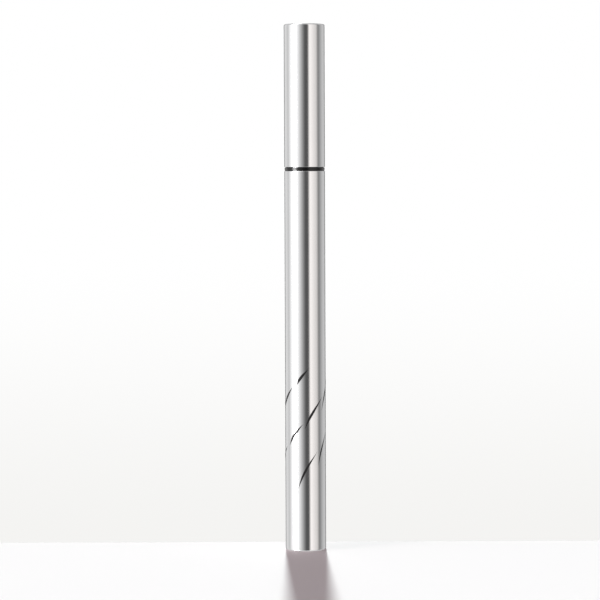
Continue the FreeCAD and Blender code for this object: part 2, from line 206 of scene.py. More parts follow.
class StudioSettings(bpy.types.PropertyGroup):
    """Camera, lamps and background. Sectors are degrees round the pen, from the camera to its right."""

    distance: length("Camera distance", "Camera to the pen's axis", 0.73)
    height: length("Camera height", "Camera above the floor", 0.1)
    aside: length("Camera aside", "Camera to the left of the pen", 0.00132)
    pitch: angle("Pitch", "How far the camera looks down", 2.746)
    roll: angle("Roll", "Camera's turn about its own line of sight", -0.21)
    lens: bpy.props.FloatProperty(name="Lens", description="Focal length", default=168.65, min=1.0,
                                  unit="CAMERA")
    key: amount("Key panel", "Brightness of the large panel on the left", 4.0, 10.0)
    key_shine: amount("Key shine", "How much brighter the glossy pieces show the key panel", 10.0, 50.0)
    key_sector: span("Key sector", "Where the key panel stands", (-75.5, -66.0, -54.0, -46.5))
    spill: amount("Key spill", "Brightness of the key panel's soft surroundings", 0.98, 10.0)
    spill_sector: span("Spill sector", "Where the key panel spills", (-114.0, -75.0, -41.0, 4.0))
    spill_curve: amount("Spill curve", "How soon the spill fades towards the camera", 1.3, 10.0)
    fill: amount("Fill panel", "Brightness of the panel on the right", 1.0, 10.0)
    fill_sector: span("Fill sector", "Where the fill panel stands", (16.5, 31.0, 67.0, 87.0))
    fill_loss: amount("Fill loss", "How much darker the fill panel is at its far end", 0.5)
    fill_fade: span("Fill fade", "Where the fill panel starts and ends to darken", (30.0, 80.0))
    fill_tint: colour("Fill tint", "Slightly warm tint of the panel on the right", (1.0, 0.955, 0.93))
    strip: amount("Back strip", "Brightness of the narrow panel behind the pen", 1.0, 10.0)
    strip_edge: span("Strip edge", "Soft edge of the panel behind the pen", (168.0, 174.0))
    gap_depth: amount("Gap depth", "How dark the gaps beside the back strip are", 0.85)
    gap_sector: span("Gap sector", "Where the gaps beside the back strip are", (148.0, 154.0, 164.0, 170.0))
    front: amount("Front level", "Brightness of the room round the camera", 0.095)
    back: amount("Back level", "Brightness of the room behind the pen", 0.58)
    back_edge: span("Back edge", "Where the front level turns into the back level", (63.0, 128.0))
    left: amount("Left level", "Extra brightness of the room's left side", 0.17)
    left_edge: span("Left edge", "Where the left side's brightness sets in", (-95.0, -120.0))
    wall_top: span("Wall top", "Soft upper edge of the walls, as slope of the view", (0.56, 0.36))
    wall_foot: span("Wall foot", "Soft lower edge of the walls, as slope of the view", (-0.95, -0.6))
    upper: amount("Upper walls", "Share of the walls' brightness above their edge", 0.08)
    upper_shine: amount("Upper shine", "How much more of the upper walls the metal shows", 0.3)
    dome: amount("Ceiling level", "Brightness of the ceiling", 0.14)
    dome_edge: span("Ceiling edge", "Soft edge of the ceiling, as slope of the view", (0.3, 0.6))
    shine: amount("Ceiling shine", "How much brighter the metal shows the ceiling", 0.2)
    glow: amount("Floor glow", "Brightness of the floor as the metal shows it", 0.6)
    glow_edge: span("Glow edge", "Soft edge of the floor's glow, as slope of the view", (-0.5, -0.9))
    sun: amount("Back lamp", "Strength of the lamp behind the pen", 3.3, 10.0)
    sun_tint: colour("Lamp tint", "Tint of the lamp behind the pen", (0.82, 1.0, 0.955))
    sun_height: angle("Lamp height", "Height of the lamp behind the pen", 53.47)
    sun_aside: angle("Lamp aside", "How far the lamp stands to the left", 0.69)
    sun_size: angle("Lamp size", "Width of the lamp as the pen sees it", 2)
    paper: colour("Floor", "Pale floor, a little pink where the lamp doesn't reach", (0.93, 0.81, 0.84))
    floor_width: length("Floor width", "Width of the floor", 1.2)
    floor_depth: length("Floor depth", "Depth of the floor", 0.6)
    floor_end: length("Floor end", "How far the floor reaches behind the pen", 0.0135)
    fade_start: length("Fade start", "Where the floor starts to fade out", 0.16)
    fade_end: length("Fade end", "Where the floor has faded out", 0.3)
    haze: colour("Low backdrop", "Backdrop near the floor", (0.905, 0.9, 0.885))
    haze_edge: span("Backdrop edge", "Where the backdrop turns white, as slope of the view", (-0.14, -0.03))


class Value:
    """A socket that Python arithmetic works on: each operation adds one Math node."""

    def __init__(self, graph, socket):
        self.graph = graph
        self.socket = socket

    def __add__(self, other):
        return self.graph.maths("ADD", self, other)

    def __sub__(self, other):
        return self.graph.maths("SUBTRACT", self, other)

    def __rsub__(self, other):
        return self.graph.maths("SUBTRACT", other, self)

    def __mul__(self, other):
        return self.graph.maths("MULTIPLY", self, other)

    def __pow__(self, other):
        return self.graph.maths("POWER", self, other)

    def __abs__(self):
        return self.graph.maths("ABSOLUTE", self)

    __radd__ = __add__
    __rmul__ = __mul__

    def between(self, low, high, shape="SMOOTHSTEP"):
        """0 at low and 1 at high, with a soft step between them."""
        sockets = {"Value": self, "From Min": low, "From Max": high}
        return self.graph.node("ShaderNodeMapRange", {"interpolation_type": shape}, sockets)

    def within(self, sector):
        """1 inside a sector and 0 outside it, with soft edges."""
        start, full, still, end = sector
        return self.between(start, full) * self.between(end, still)


class Graph:
    """The node tree of a material or a world, written as expressions."""

    def __init__(self, owner):
        owner.use_nodes = True
        self.tree = owner.node_tree
        self.tree.nodes.clear()
        is_world = isinstance(owner, bpy.types.World)
        self.output = "ShaderNodeOutputWorld" if is_world else "ShaderNodeOutputMaterial"

    def node(self, kind, settings=None, sockets=None, out=0):
        """Add a node, set it up, then fill or link its sockets. Gives one of its outputs."""
        node = self.tree.nodes.new(kind)
        for name, setting in (settings or {}).items():
            setattr(node, name, setting)
        for key, value in (sockets or {}).items():
            socket = node.inputs[key] if isinstance(key, int) else self.named(node.inputs, key)
            if isinstance(value, Value):
                self.tree.links.new(value.socket, socket)
            elif socket.type == "RGBA":
                socket.default_value = (*value, 1.0)
            else:
                socket.default_value = value
        if not node.outputs:
            return None
        return Value(self, node.outputs[out] if isinstance(out, int) else self.named(node.outputs, out))

    def named(self, sockets, key):
        """The socket that a key names, by its identifier or its label."""
        return next(socket for socket in sockets if key in (socket.identifier, socket.name))

    def maths(self, operation, *values):
        return self.node("ShaderNodeMath", {"operation": operation}, dict(enumerate(values)))

    def place(self):
        """Object coordinates."""
        return self.node("ShaderNodeTexCoord", out="Object")

    def way(self):
        """Direction of a ray that leaves the scene."""
        return self.node("ShaderNodeTexCoord", out="Generated")

    def parts(self, vector):
        """X, Y and Z of a vector."""
        split = self.node("ShaderNodeSeparateXYZ", sockets={"Vector": vector})
        outputs = split.socket.node.outputs
        return [Value(self, outputs[axis]) for axis in "XYZ"]

    def off_axis(self, place):
        """Distance from the pen's axis."""
        x, y, _ = self.parts(place)
        return (x * x + y * y) ** 0.5

    def stretched(self, place, stretch):
        """Coordinates that draw a pattern out along the pen."""
        sockets = {0: place, 1: (1.0, 1.0, 1.0 / stretch)}
        return self.node("ShaderNodeVectorMath", {"operation": "MULTIPLY"}, sockets, "Vector")

    def tinted(self, value, tint):
        """A colour made brighter or darker by a value."""
        settings = {"operation": "SCALE"}
        return self.node("ShaderNodeVectorMath", settings, {0: tint, "Scale": value}, "Vector")

    def summed(self, first, second):
        return self.node("ShaderNodeVectorMath", {"operation": "ADD"}, {0: first, 1: second}, "Vector")

    def noise(self, place, size, detail=2.0):
        """Soft noise with features of the given size."""
        sockets = {"Vector": place, "Scale": 1.0 / size, "Detail": detail}
        return self.node("ShaderNodeTexNoise", sockets=sockets, out="Fac")

    def mixed(self, factor, first, second):
        sockets = {"Factor_Float": factor, "A_Color": first, "B_Color": second}
        return self.node("ShaderNodeMix", {"data_type": "RGBA"}, sockets, "Result_Color")

    def bump(self, height, strength, distance):
        sockets = {"Height": height, "Strength": strength, "Distance": distance}
        return self.node("ShaderNodeBump", sockets=sockets)

    def surface(self, **sockets):
        """A Principled shader. Names of its sockets are written with underscores."""
        named = {name.replace("_", " "): value for name, value in sockets.items()}
        return self.node("ShaderNodeBsdfPrincipled", sockets=named)

    def finish(self, shader):
        """Send a shader to the material's or the world's output."""
        self.node(self.output, sockets={"Surface": shader})


def material(name):
    """A new material and its graph."""
    made = bpy.data.materials.new(name)
    return made, Graph(made)


def shaded(tint, share):
    """A colour made darker by a share below 1, or paler by one above it."""
    return tuple(channel * share for channel in tint)


def polished_aluminium(finishes):
    """Near mirror metal: drawn lines along the wall, turned rings on the closed ends, faint haze."""
    line_width, line_stretch = 0.0002, 120.0
    ring_width = 0.00016
    cloud_size = 0.006
    end_depth = 0.0002
    grain_rough, cloud_rough = 0.05, 0.04
    dull = 0.985
    relief, relief_depth = 0.06, 0.000002
    made, graph = material("polished_aluminium")
    place = graph.place()
    height = graph.parts(place)[2]
    lines = graph.noise(graph.stretched(place, line_stretch), line_width, detail=3.0)
    rings = graph.node("ShaderNodeTexNoise", {"noise_dimensions": "1D"},
                       {"W": graph.off_axis(place), "Scale": 1.0 / ring_width, "Detail": 3.0}, "Fac")
    base_end = height.between(BASE_Z + end_depth, BASE_Z, "LINEAR")
    top_end = height.between(TOP_Z - end_depth, TOP_Z, "LINEAR")
    ends = base_end + top_end
    grain = lines * (1.0 - ends) + rings * ends
    cloud = graph.noise(place, cloud_size, detail=4.0)
    rough = finishes.metal_rough + grain_rough * (grain - 0.5) + cloud_rough * (cloud - 0.5)
    base = graph.mixed(cloud.between(0.35, 0.7), shaded(finishes.metal, dull), finishes.metal)
    normal = graph.bump(grain, relief, relief_depth)
    graph.finish(graph.surface(Base_Color=base, Metallic=1.0, Roughness=rough, Normal=normal))
    return made


def gloss_black(finishes, band_top):
    """Black moulding with a polished skin and a very slight orange peel. The band is lacquered."""
    peel_size, cloud_size = 0.0007, 0.004
    lacquer_edge = 0.0001
    rough, cloud_rough = 0.2, 0.07
    pale = 1.5
    relief, relief_depth = 0.1, 0.000004
    made, graph = material("gloss_black")
    place = graph.place()
    height = graph.parts(place)[2]
    lacquer = height.between(band_top, band_top - lacquer_edge, "LINEAR")
    peel = graph.noise(place, peel_size)
    cloud = graph.noise(place, cloud_size, detail=4.0)
    base = graph.mixed(cloud, finishes.black, shaded(finishes.black, pale))
    roughness = rough + cloud_rough * cloud
    normal = graph.bump(peel, relief, relief_depth)
    graph.finish(graph.surface(Base_Color=base, Roughness=roughness, IOR=1.43, Specular_IOR_Level=0.17,
                               Normal=normal, Coat_Weight=lacquer, Coat_IOR=1.4, Coat_Roughness=0.2))
    return made


def fibrous(name, tint, rough):
    """Fine fibres that run along the pen."""
    fibre_width, fibre_stretch = 0.00011, 33.0
    patch_size = 0.00067
    fibre_rough, patch_rough = 0.12, 0.06
    dark, pale = 0.6, 1.5
    relief, relief_depth = 0.35, 0.00002
    made, graph = material(name)
    place = graph.place()
    fibres = graph.noise(graph.stretched(place, fibre_stretch), fibre_width, detail=4.0)
    patches = graph.noise(place, patch_size)
    base = graph.mixed(fibres.between(0.35, 0.7), shaded(tint, dark), shaded(tint, pale))
    roughness = rough + fibre_rough * fibres + patch_rough * patches
    normal = graph.bump(fibres, relief, relief_depth)
    graph.finish(graph.surface(Base_Color=base, Roughness=roughness, Specular_IOR_Level=0.1, Normal=normal))
    return made


def moulded(name, tint, rough, grain_size, depth):
    """Satin or matte moulding: a fine even grain and slight clouding."""
    cloud_size = 0.0033
    grain_rough = 0.1
    dull = 0.86
    relief = 0.3
    made, graph = material(name)
    place = graph.place()
    grain = graph.noise(place, grain_size, detail=3.0)
    cloud = graph.noise(place, cloud_size, detail=3.0)
    base = graph.mixed(cloud.between(0.3, 0.75), shaded(tint, dull), tint)
    roughness = rough + grain_rough * grain
    normal = graph.bump(grain, relief, depth)
    graph.finish(graph.surface(Base_Color=base, Roughness=roughness, Specular_IOR_Level=0.2, Normal=normal))
    return made


def bare_steel(name, tint, rough, stretch):
    """Stainless steel with fine marks, drawn out along the pen by stretch."""
    mark_size = 0.0002
    mark_rough = 0.12
    dull = 0.9
    relief, relief_depth = 0.1, 0.000004
    made, graph = material(name)
    marks = graph.noise(graph.stretched(graph.place(), stretch), mark_size, detail=4.0)
    base = graph.mixed(marks.between(0.3, 0.7), shaded(tint, dull), tint)
    roughness = rough + mark_rough * marks
    normal = graph.bump(marks, relief, relief_depth)
    graph.finish(graph.surface(Base_Color=base, Metallic=1.0, Roughness=roughness, Normal=normal))
    return made


def pale_floor(settings):
    """Matte paper that fades out far from the pen and hides itself from below."""
    tooth_size = 0.0011
    dull = 0.992
    made, graph = material("pale_floor")
    place = graph.place()
    tooth = graph.noise(place, tooth_size, detail=3.0)
    paper = graph.mixed(tooth, shaded(settings.paper, dull), settings.paper)
    matte = graph.node("ShaderNodeBsdfDiffuse", sockets={"Color": paper})
    clear = graph.node("ShaderNodeBsdfTransparent")
    under = graph.node("ShaderNodeNewGeometry", out="Backfacing")
    far = graph.off_axis(place).between(settings.fade_start, settings.fade_end)
    hidden = graph.maths("MAXIMUM", under, far)
    graph.finish(graph.node("ShaderNodeMixShader", sockets={0: hidden, 1: matte, 2: clear}))
    return made


def rounding(step):
    """Radius that a step of an outline asks for at its corner."""
    return step[2] if len(step) > 2 else 0.0


def rounded_path(outline):
    """Points of an outline, held beside each rounded corner, and those corners with their radii."""
    points = []
    corners = []
    for index, step in enumerate(outline):
        here = Vector(step[:2])
        radius = rounding(step)
        if not radius:
            points.append(here)
            continue
        holds = []
        for neighbour in (outline[index - 1], outline[(index + 1) % len(outline)]):
            side = Vector(neighbour[:2]) - here
            if side.length < HOLD * (radius + rounding(neighbour)):
                raise ValueError(f"no room to round the corner {step}")
            holds.append(here + side.normalized() * HOLD * radius)
        points += [holds[0], here, holds[1]]
        corners.append((here, radius))
    return points, corners


def on_corner(vert, corner):
    """Whether a point of a turned piece lies on a corner of its outline."""
    return (Vector((vert.co.xy.length, vert.co.z)) - corner).length < WELD


def turned(outline, steps=RING_STEPS):
    """Spin an outline of (radius, height) or (radius, height, rounding) about the pen's axis."""
    points, corners = rounded_path(outline)
    shape = bmesh.new()
    verts = [shape.verts.new((radius, 0, height)) for radius, height in points]
    if points[0].x > WELD:
        verts.append(verts[0])
    edges = [shape.edges.new(pair) for pair in zip(verts, verts[1:])]
    bmesh.ops.spin(shape, geom=shape.verts[:] + edges, cent=(0, 0, 0), axis=(0, 0, 1),
                   angle=2 * math.pi, steps=steps, use_merge=True)
    bmesh.ops.remove_doubles(shape, verts=shape.verts, dist=WELD)
    bmesh.ops.recalc_face_normals(shape, faces=shape.faces)
    for corner, radius in corners:
        ring = [edge for edge in shape.edges if all(on_corner(vert, corner) for vert in edge.verts)]
        bmesh.ops.bevel(shape, geom=ring, offset=radius, affect="EDGES", segments=EDGE_STEPS, profile=0.5,
                        material=-1)
    return shape


def swelled(start, end, belly):
    """Points between two points of an outline, bowed by belly: out on the way up, in on the way down."""
    start, end = Vector(start), Vector(end)
    run = end - start
    out = Vector((run.y, -run.x)).normalized()
    shares = [step / SWELL_STEPS for step in range(1, SWELL_STEPS)]
    return [tuple(start + run * share + out * (4 * belly * share * (1 - share))) for share in shares]


def upright_circle(shape, radius, height, section, steps):
    """Circle of a ring's or a wire's section, at its distance from the axis."""
    place = Matrix.Translation((radius, 0, height)) @ Matrix.Rotation(math.pi / 2, 4, "X")
    bmesh.ops.create_circle(shape, segments=steps, radius=section, matrix=place)
    return shape.verts[:] + shape.edges[:]


def place_piece(name, shape, finish, body=None, node=None):
    """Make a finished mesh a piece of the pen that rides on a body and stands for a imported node."""
    mesh = bpy.data.meshes.new(name)
    shape.to_mesh(mesh)
    shape.free()
    mesh.shade_smooth()
    mesh.set_sharp_from_angle(angle=SHARP)
    mesh.materials.append(finish)
    piece = bpy.data.objects.new(name, mesh)
    bpy.context.scene.collection.objects.link(piece)
    if body:
        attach(piece, body)
    if node:
        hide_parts(node)
    return piece


class PEN_OT_sleeves(bpy.types.Operator):
    """Make the polished barrel sleeve and cap sleeve"""

    bl_idname = "pen.sleeves"
    bl_label = "Barrel and cap sleeves"

    def cup_outline(self, sizes, radius, closed, mouth, edge):
        """Outline of a drawn sleeve, from the outside of its closed end to the inside."""
        up = 1 if mouth > closed else -1
        floor = closed + up * sizes.end
        bore = radius - sizes.wall
        inner_edge = max(edge - sizes.wall, sizes.wall / 2)
        return [(0, closed), (radius, closed, edge), (radius, mouth, sizes.lip_edge),
                (bore, mouth, sizes.lip_edge), (bore, floor, inner_edge), (0, floor)]

    def execute(self, context):
        sizes = context.scene.pen_sizes
        film = context.scene.pen_print.film
        metal = polished_aluminium(context.scene.pen_finishes)
        barrel = turned(self.cup_outline(sizes, BODY_R - film, BASE_Z, MOUTH_Z, sizes.base_edge))
        cap = turned(self.cup_outline(sizes, CAP_R, TOP_Z, RIM_Z, sizes.cap_edge))
        place_piece("barrel_shell", barrel, metal, "barrel", "barrel_sleeve")
        place_piece("cap_shell", cap, metal, "cap", "cap_sleeve")
        return {"FINISHED"}


class PEN_OT_print(bpy.types.Operator):
    """Print slim tapered dashes round the lower barrel"""

    bl_idname = "pen.print"
    bl_label = "Printed dashes"

    golden_turn = math.pi * (3 - math.sqrt(5))
    across_steps = 4
    along_steps = 40

    def add_dash(self, shape, prints, index):
        """Lay one dash on the barrel: a thin grid, tapered to both ends, bowed and wrapped round."""
        share = index / max(prints.count - 1, 1)
        swing = math.sin(prints.swing_step * index + prints.swing_start)
        middle = prints.low + (prints.high - prints.low) * share
        slant = prints.slant * (1 + prints.slant_spread * swing)
        width = prints.width * (1 + prints.width_spread * swing)
        dash = prints.dash * (1 + prints.dash_spread * math.cos(prints.dash_step * index))
        grid = bmesh.ops.create_grid(shape, x_segments=self.across_steps, y_segments=self.along_steps,
                                     size=0.5)
        for vert in grid["verts"]:
            across, along = vert.co.x, vert.co.y
            off_middle = (2 * along) ** 2
            taper = prints.blunt + (1 - prints.blunt) * (1 - off_middle) ** prints.taper
            aside = dash * (along * math.sin(slant) + prints.bow * off_middle) + width * taper * across
            turn = self.golden_turn * index + aside / BODY_R
            height = middle + dash * along * math.cos(slant)
            vert.co = (BODY_R * math.sin(turn), -BODY_R * math.cos(turn), height)

    def execute(self, context):
        prints = context.scene.pen_print
        shape = bmesh.new()
        for index in range(prints.count):
            self.add_dash(shape, prints, index)
        shape.normal_update()
        bmesh.ops.solidify(shape, geom=shape.faces, thickness=prints.film)
        finishes = context.scene.pen_finishes
        ink = moulded("print_ink", finishes.ink, rough=0.35, grain_size=0.0002, depth=0.000001)
        place_piece("printed_dashes", shape, ink, "barrel")
        return {"FINISHED"}


class PEN_OT_nose(bpy.types.Operator):
    """Make the glossy black nose with its band, neck, snap bead and taper, and the tip holder"""

    bl_idname = "pen.nose"
    bl_label = "Nose and tip holder"

    def nose_outline(self, sizes):
        band_top = MOUTH_Z + sizes.band_height
        tank_bore = TANK_R - sizes.tank_wall
        spigot = tank_bore - sizes.press_gap
        groove = tank_bore - sizes.seal_section - 2 * sizes.seal_gap
        groove_half = sizes.seal_section / 2 + sizes.seal_gap
        groove_z = (SPIGOT_Z + MOUTH_Z) / 2
        bead = LINER_R - sizes.liner_wall - sizes.catch_height - sizes.snap_gap
        neck = bead - sizes.bead_height
        cone = neck - sizes.cone_step
        bead_z = LINER_Z + sizes.neck_length
        cone_z = bead_z + sizes.bead_length
        bead_belly = bead - (neck + cone) / 2
        chamfer_z = FRONT_Z - sizes.chamfer
        front = TIP_R + sizes.front_step
        bore = COLLAR_R + sizes.fibre_gap + sizes.shank_wall + sizes.press_gap
        cavity = cone - sizes.nose_wall
        return [
            (groove, SPIGOT_Z), (spigot, SPIGOT_Z + spigot - groove), (spigot, groove_z - groove_half),
            (groove, groove_z - groove_half), (groove, groove_z + groove_half),
            (spigot, groove_z + groove_half), (spigot, MOUTH_Z), (BAND_R, MOUTH_Z, sizes.band_edge),
            (BAND_R, band_top, sizes.band_edge), (TANK_R, band_top), (neck, LINER_Z), (neck, bead_z),
            *swelled((neck, bead_z), (cone, cone_z), bead_belly), (cone, cone_z),
            *swelled((cone, cone_z), (front, chamfer_z), sizes.belly), (front, chamfer_z), (TIP_R, FRONT_Z),
            (bore, FRONT_Z), (bore, SHANK_Z), (cavity, cone_z), (cavity, SPIGOT_Z)]

    def tip_outline(self, sizes):
        bore = sizes.nib_radius + sizes.fibre_gap
        mouth = bore + sizes.fibre_gap
        front = bore + sizes.tip_lip
        seat = COLLAR_R + sizes.fibre_gap
        seat_z = COLLAR_Z + sizes.collar_height + sizes.fibre_gap
        shank = seat + sizes.shank_wall
        return [
            (seat, SHANK_Z), (shank, SHANK_Z), (shank, FRONT_Z), (TIP_R, FRONT_Z),
            (front, TIP_Z, sizes.tip_nose), (mouth, TIP_Z), (bore, TIP_Z - sizes.tip_mouth), (bore, seat_z),
            (seat, seat_z)]

    def execute(self, context):
        sizes = context.scene.pen_sizes
        black = gloss_black(context.scene.pen_finishes, MOUTH_Z + sizes.band_height)
        nose = turned(self.nose_outline(sizes))
        tip = turned(self.tip_outline(sizes))
        place_piece("nose", nose, black, "barrel", "nose_cone")
        place_piece("tip_holder", tip, black, "barrel", "tip_sleeve")
        return {"FINISHED"}


class PEN_OT_nib(bpy.types.Operator):
    """Make the brush nib: a bundle of fibres that runs to a fine point"""

    bl_idname = "pen.nib"
    bl_label = "Brush nib"

    fibres = 26
    fibre_steps = 8
    sways = 3
    sway = 0.5

    def nib_outline(self, sizes, collar_top):
        radius, point = sizes.nib_radius, sizes.nib_point
        shoulder = POINT_Z - point
        bend = math.sqrt(0.5) * point
        return [
            (0, COLLAR_Z + sizes.relay_socket), (RELAY_R, COLLAR_Z), (COLLAR_R, COLLAR_Z),
            (COLLAR_R, collar_top), (radius, collar_top), (radius, TIP_Z),
            *swelled((radius, TIP_Z), (point, shoulder), sizes.belly),
            (point, shoulder), (bend, shoulder + bend), (0, POINT_Z)]

    def groove_fibres(self, shape, collar_top, depth):
        """Sink grooves between the fibres, which crowd and part a little round the nib."""
        for vert in shape.verts:
            if vert.co.z > collar_top + WELD:
                turn = math.atan2(vert.co.y, vert.co.x)
                lean = self.sway * math.sin(self.sways * turn)
                ridge = abs(math.cos(self.fibres * turn / 2 + lean))
                vert.co.xy *= 1 - depth * (1 - ridge) ** 2

    def execute(self, context):
        sizes = context.scene.pen_sizes
        collar_top = COLLAR_Z + sizes.collar_height
        shape = turned(self.nib_outline(sizes, collar_top), steps=self.fibre_steps * self.fibres)
        self.groove_fibres(shape, collar_top, sizes.fibre_depth)
        fibre = fibrous("nib_fibre", context.scene.pen_finishes.fibre, rough=0.42)
        place_piece("nib", shape, fibre, "barrel", "brush_nib")
        return {"FINISHED"}


class PEN_OT_cap_inside(bpy.types.Operator):
    """Make the cap's liner, the sealing inner cap with its gasket, and the spring's stop"""

    bl_idname = "pen.cap_inside"
    bl_label = "Inside of the cap"

    def liner_outline(self, sizes):
        edge = sizes.moulded_edge
        bore = LINER_R - sizes.liner_wall
        chamber = LINER_R - sizes.chamber_wall
        catch_low = (bore, LINER_Z + sizes.lead_in)
        catch_high = (bore, catch_low[1] + sizes.catch_length)
        ledge_top = TIP_Z - sizes.travel - sizes.run_gap
        ledge_low = ledge_top - sizes.ledge
        ledge = SKIRT_R + sizes.run_gap
        return [
            (LINER_R, LINER_Z), (LINER_R, LINER_TOP_Z, edge), (chamber, LINER_TOP_Z), (chamber, ledge_top),
            (ledge, ledge_top), (ledge, ledge_low, edge), (bore, ledge_low, edge), catch_high,
            *swelled(catch_high, catch_low, sizes.catch_height), catch_low, (bore + sizes.lead_in, LINER_Z)]

    def cup_outline(self, sizes):
        edge = sizes.moulded_edge
        bore = TIP_R + sizes.run_gap
        tongue = (bore + SKIRT_R) / 2
        tongue_top = KEY_Z + sizes.press_gap
        room = sizes.nib_radius + sizes.nib_room
        room_top = DOME_Z - sizes.inner_wall
        dome = room + sizes.inner_wall
        step = TIP_Z + sizes.run_gap
        flange_top = TIP_Z + sizes.flange_height
        return [
            (0, DOME_Z), (dome, DOME_Z, sizes.inner_wall), (dome, flange_top), (FLANGE_R, flange_top, edge),
            (FLANGE_R, TIP_Z, edge), (SKIRT_R, TIP_Z), (SKIRT_R, SKIRT_Z), (tongue, SKIRT_Z),
            (tongue, tongue_top), (bore, tongue_top), (bore, step, edge), (room, step, edge),
            (room, room_top), (0, room_top)]

    def gasket_outline(self, sizes):
        edge = sizes.soft_edge
        bore = TIP_R + sizes.run_gap
        key = (bore + SKIRT_R) / 2 - sizes.press_gap
        top = SKIRT_Z - sizes.press_gap
        throat = TIP_R + sizes.close_gap
        mouth = throat + sizes.front_step
        return [
            (mouth, GASKET_Z, edge), (SKIRT_R, GASKET_Z, edge), (SKIRT_R, top), (key, top), (key, KEY_Z),
            (bore, KEY_Z), (throat, top), (throat, FRONT_Z)]

    def stop_outline(self, sizes):
        edge = sizes.moulded_edge
        boss = SPRING_R - sizes.wire - sizes.run_gap
        disc_z = SPRING_TOP_Z + sizes.spring_gap
        return [
            (0, BOSS_Z), (boss - sizes.boss_taper, BOSS_Z, edge), (boss, disc_z), (STOP_R, disc_z),
            (STOP_R, STOP_TOP_Z, edge), (0, STOP_TOP_Z)]

    def execute(self, context):
        sizes = context.scene.pen_sizes
        finishes = context.scene.pen_finishes
        satin = moulded("liner_plastic", finishes.liner, rough=0.3, grain_size=0.00016, depth=0.000004)
        soft = moulded("gasket_rubber", finishes.gasket, rough=0.55, grain_size=0.00012, depth=0.000006)
        liner = turned(self.liner_outline(sizes))
        cup = turned(self.cup_outline(sizes))
        stop = turned(self.stop_outline(sizes))
        gasket = turned(self.gasket_outline(sizes))
        place_piece("liner", liner, satin, "cap", "cap_liner")
        place_piece("sealing_cup", cup, satin, "inner_cap", "inner_cap")
        place_piece("stop", stop, satin, "cap", "spring_stop")
        place_piece("gasket", gasket, soft, "inner_cap", "seal_gasket")
        return {"FINISHED"}


class PEN_OT_spring(bpy.types.Operator):
    """Wind the spring that pushes the inner cap: close first and last turns, open turns between"""

    bl_idname = "pen.spring"
    bl_label = "Cap spring"

    open_turns = 5
    turn_steps = 48
    wire_steps = 14

    def execute(self, context):
        sizes = context.scene.pen_sizes
        radius = sizes.wire / 2
        low = SPRING_Z + radius
        open_rise = SPRING_TOP_Z - radius - low - 2 * sizes.end_pitch
        shape = bmesh.new()
        section = upright_circle(shape, SPRING_R - radius, low, radius, self.wire_steps)
        for turns, rise in ((1, sizes.end_pitch), (self.open_turns, open_rise), (1, sizes.end_pitch)):
            steps = turns * self.turn_steps
            wound = bmesh.ops.spin(shape, geom=section, cent=(0, 0, 0), axis=(0, 0, 1),
                                   dvec=(0, 0, rise / steps), angle=2 * math.pi * turns, steps=steps)
            section = wound["geom_last"]
        bmesh.ops.holes_fill(shape, edges=[edge for edge in shape.edges if edge.is_boundary])
        bmesh.ops.recalc_face_normals(shape, faces=shape.faces)
        steel = bare_steel("spring_steel", context.scene.pen_finishes.wire, rough=0.22, stretch=1.0)
        spring = place_piece("spring", shape, steel, node="cap_spring")
        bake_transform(spring)
        return {"FINISHED"}


class PEN_OT_seals(bpy.types.Operator):
    """Make the sealing rings of the tail plug and the nose"""

    bl_idname = "pen.seals"
    bl_label = "Sealing rings"

    section_steps = 28
    ring_steps = 96

    def seal_ring(self, node):
        outer, low, high = reach(node)
        section = (high - low) / 2
        shape = bmesh.new()
        circle = upright_circle(shape, outer - section, low + section, section, self.section_steps)
        bmesh.ops.spin(shape, geom=circle, cent=(0, 0, 0), axis=(0, 0, 1), angle=2 * math.pi,
                       steps=self.ring_steps, use_merge=True)
        bmesh.ops.remove_doubles(shape, verts=shape.verts, dist=WELD)
        bmesh.ops.recalc_face_normals(shape, faces=shape.faces)
        return shape

    def execute(self, context):
        finishes = context.scene.pen_finishes
        rubber = moulded("seal_rubber", finishes.seal, rough=0.5, grain_size=0.0001, depth=0.000006)
        place_piece("tail_ring", self.seal_ring("tail_seal"), rubber, "barrel", "tail_seal")
        place_piece("nose_ring", self.seal_ring("nose_seal"), rubber, "barrel", "nose_seal")
        return {"FINISHED"}


class PEN_OT_feed(bpy.types.Operator):
    """Give the tank, plug, ball, collector and relay core inside the barrel their finishes"""

    bl_idname = "pen.feed"
    bl_label = "Ink feed"

    def execute(self, context):
        finishes = context.scene.pen_finishes
        natural = moulded("tank_plastic", finishes.tank, rough=0.3, grain_size=0.00015, depth=0.000004)
        ivory = moulded("collector_plastic", finishes.collector, rough=0.35, grain_size=0.0001,
                        depth=0.000003)
        looks = {
            "ink_tank": natural,
            "tail_plug": natural,
            "collector": ivory,
            "relay_core": fibrous("relay_fibre", finishes.relay, rough=0.5),
            "agitator_ball": bare_steel("ball_steel", finishes.ball, rough=0.08, stretch=3.3),
        }
        for node, look in looks.items():
            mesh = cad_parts[node].data
            mesh.materials.clear()
            mesh.materials.append(look)
        return {"FINISHED"}


